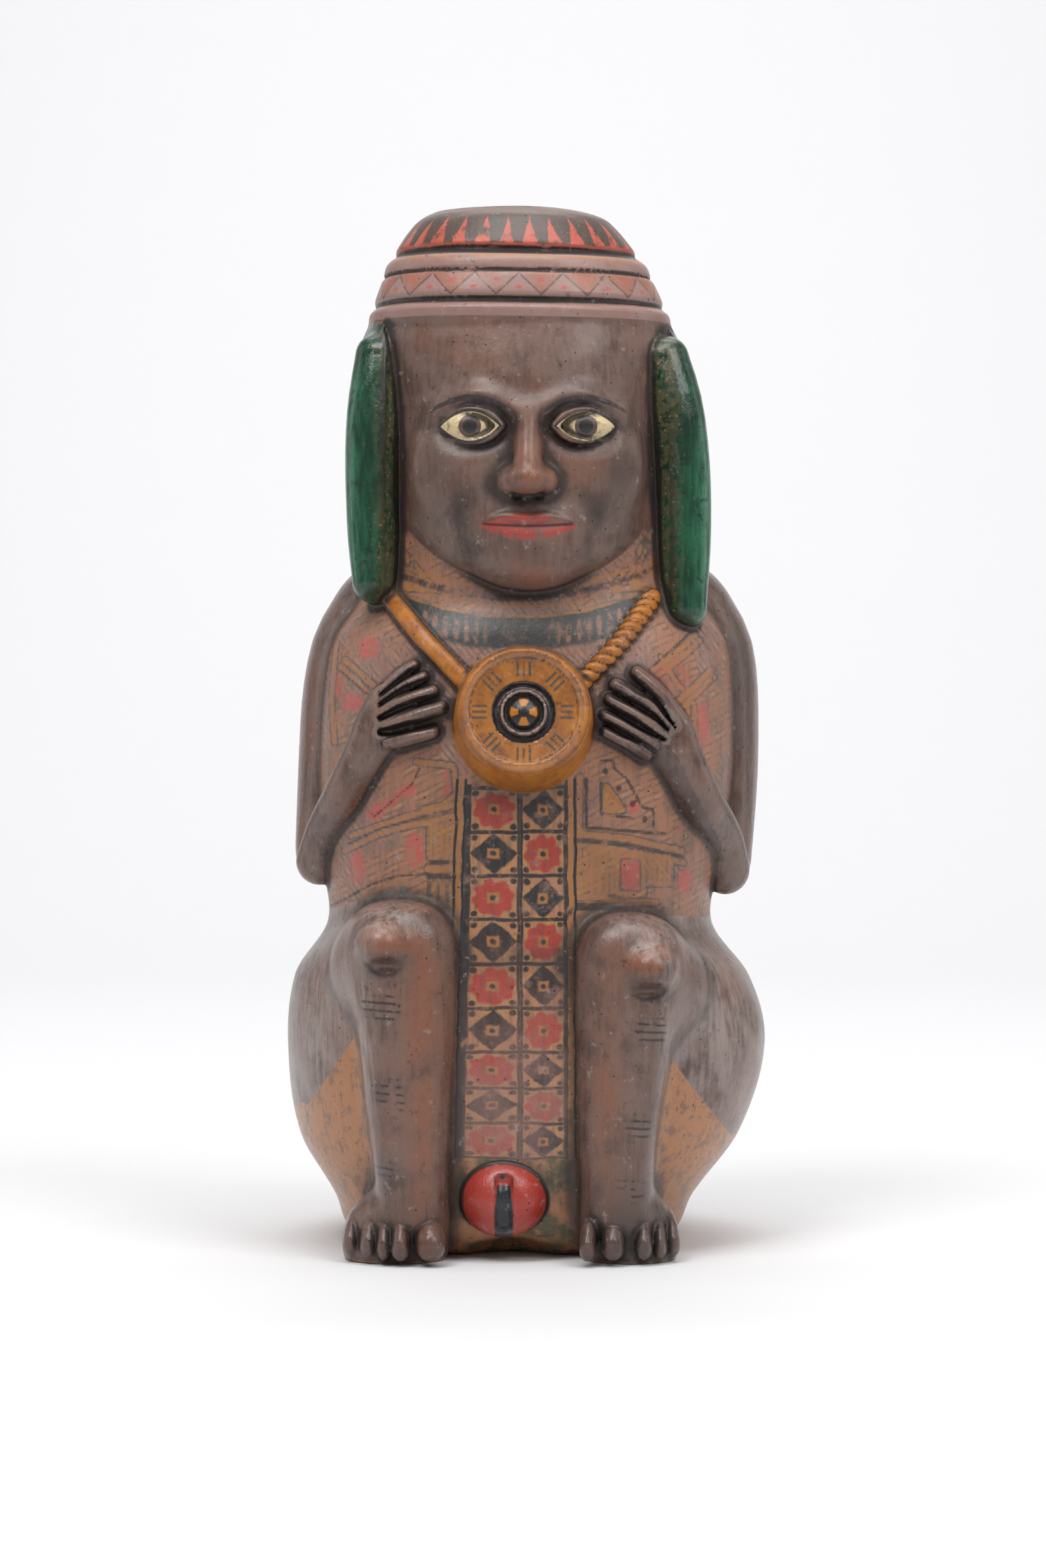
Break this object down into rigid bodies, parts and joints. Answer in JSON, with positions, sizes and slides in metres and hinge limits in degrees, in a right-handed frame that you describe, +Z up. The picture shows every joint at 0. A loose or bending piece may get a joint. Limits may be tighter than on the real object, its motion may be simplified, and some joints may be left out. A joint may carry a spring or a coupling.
{
  "type": "earthenware figure vessel",
  "caption": "Hollow earthenware figure of a seated person in cap and tunic, hands on a chest medallion, open at the top of the cap.",
  "frame": {"origin": "centre of the footprint, on the surface the figure stands on", "axes": "+Z up the figure, -Y the way it faces, +X to the viewer's right"},
  "size_m": [0.1406, 0.1329, 0.3],
  "materials": {
    "burnished_clay": "burnished brown earthenware with red, ochre and black slip painting and green glazed hair, worn satin"
  },
  "bodies": {
    "root": {"figure": "burnished_clay"}
  },
  "joints": []
}
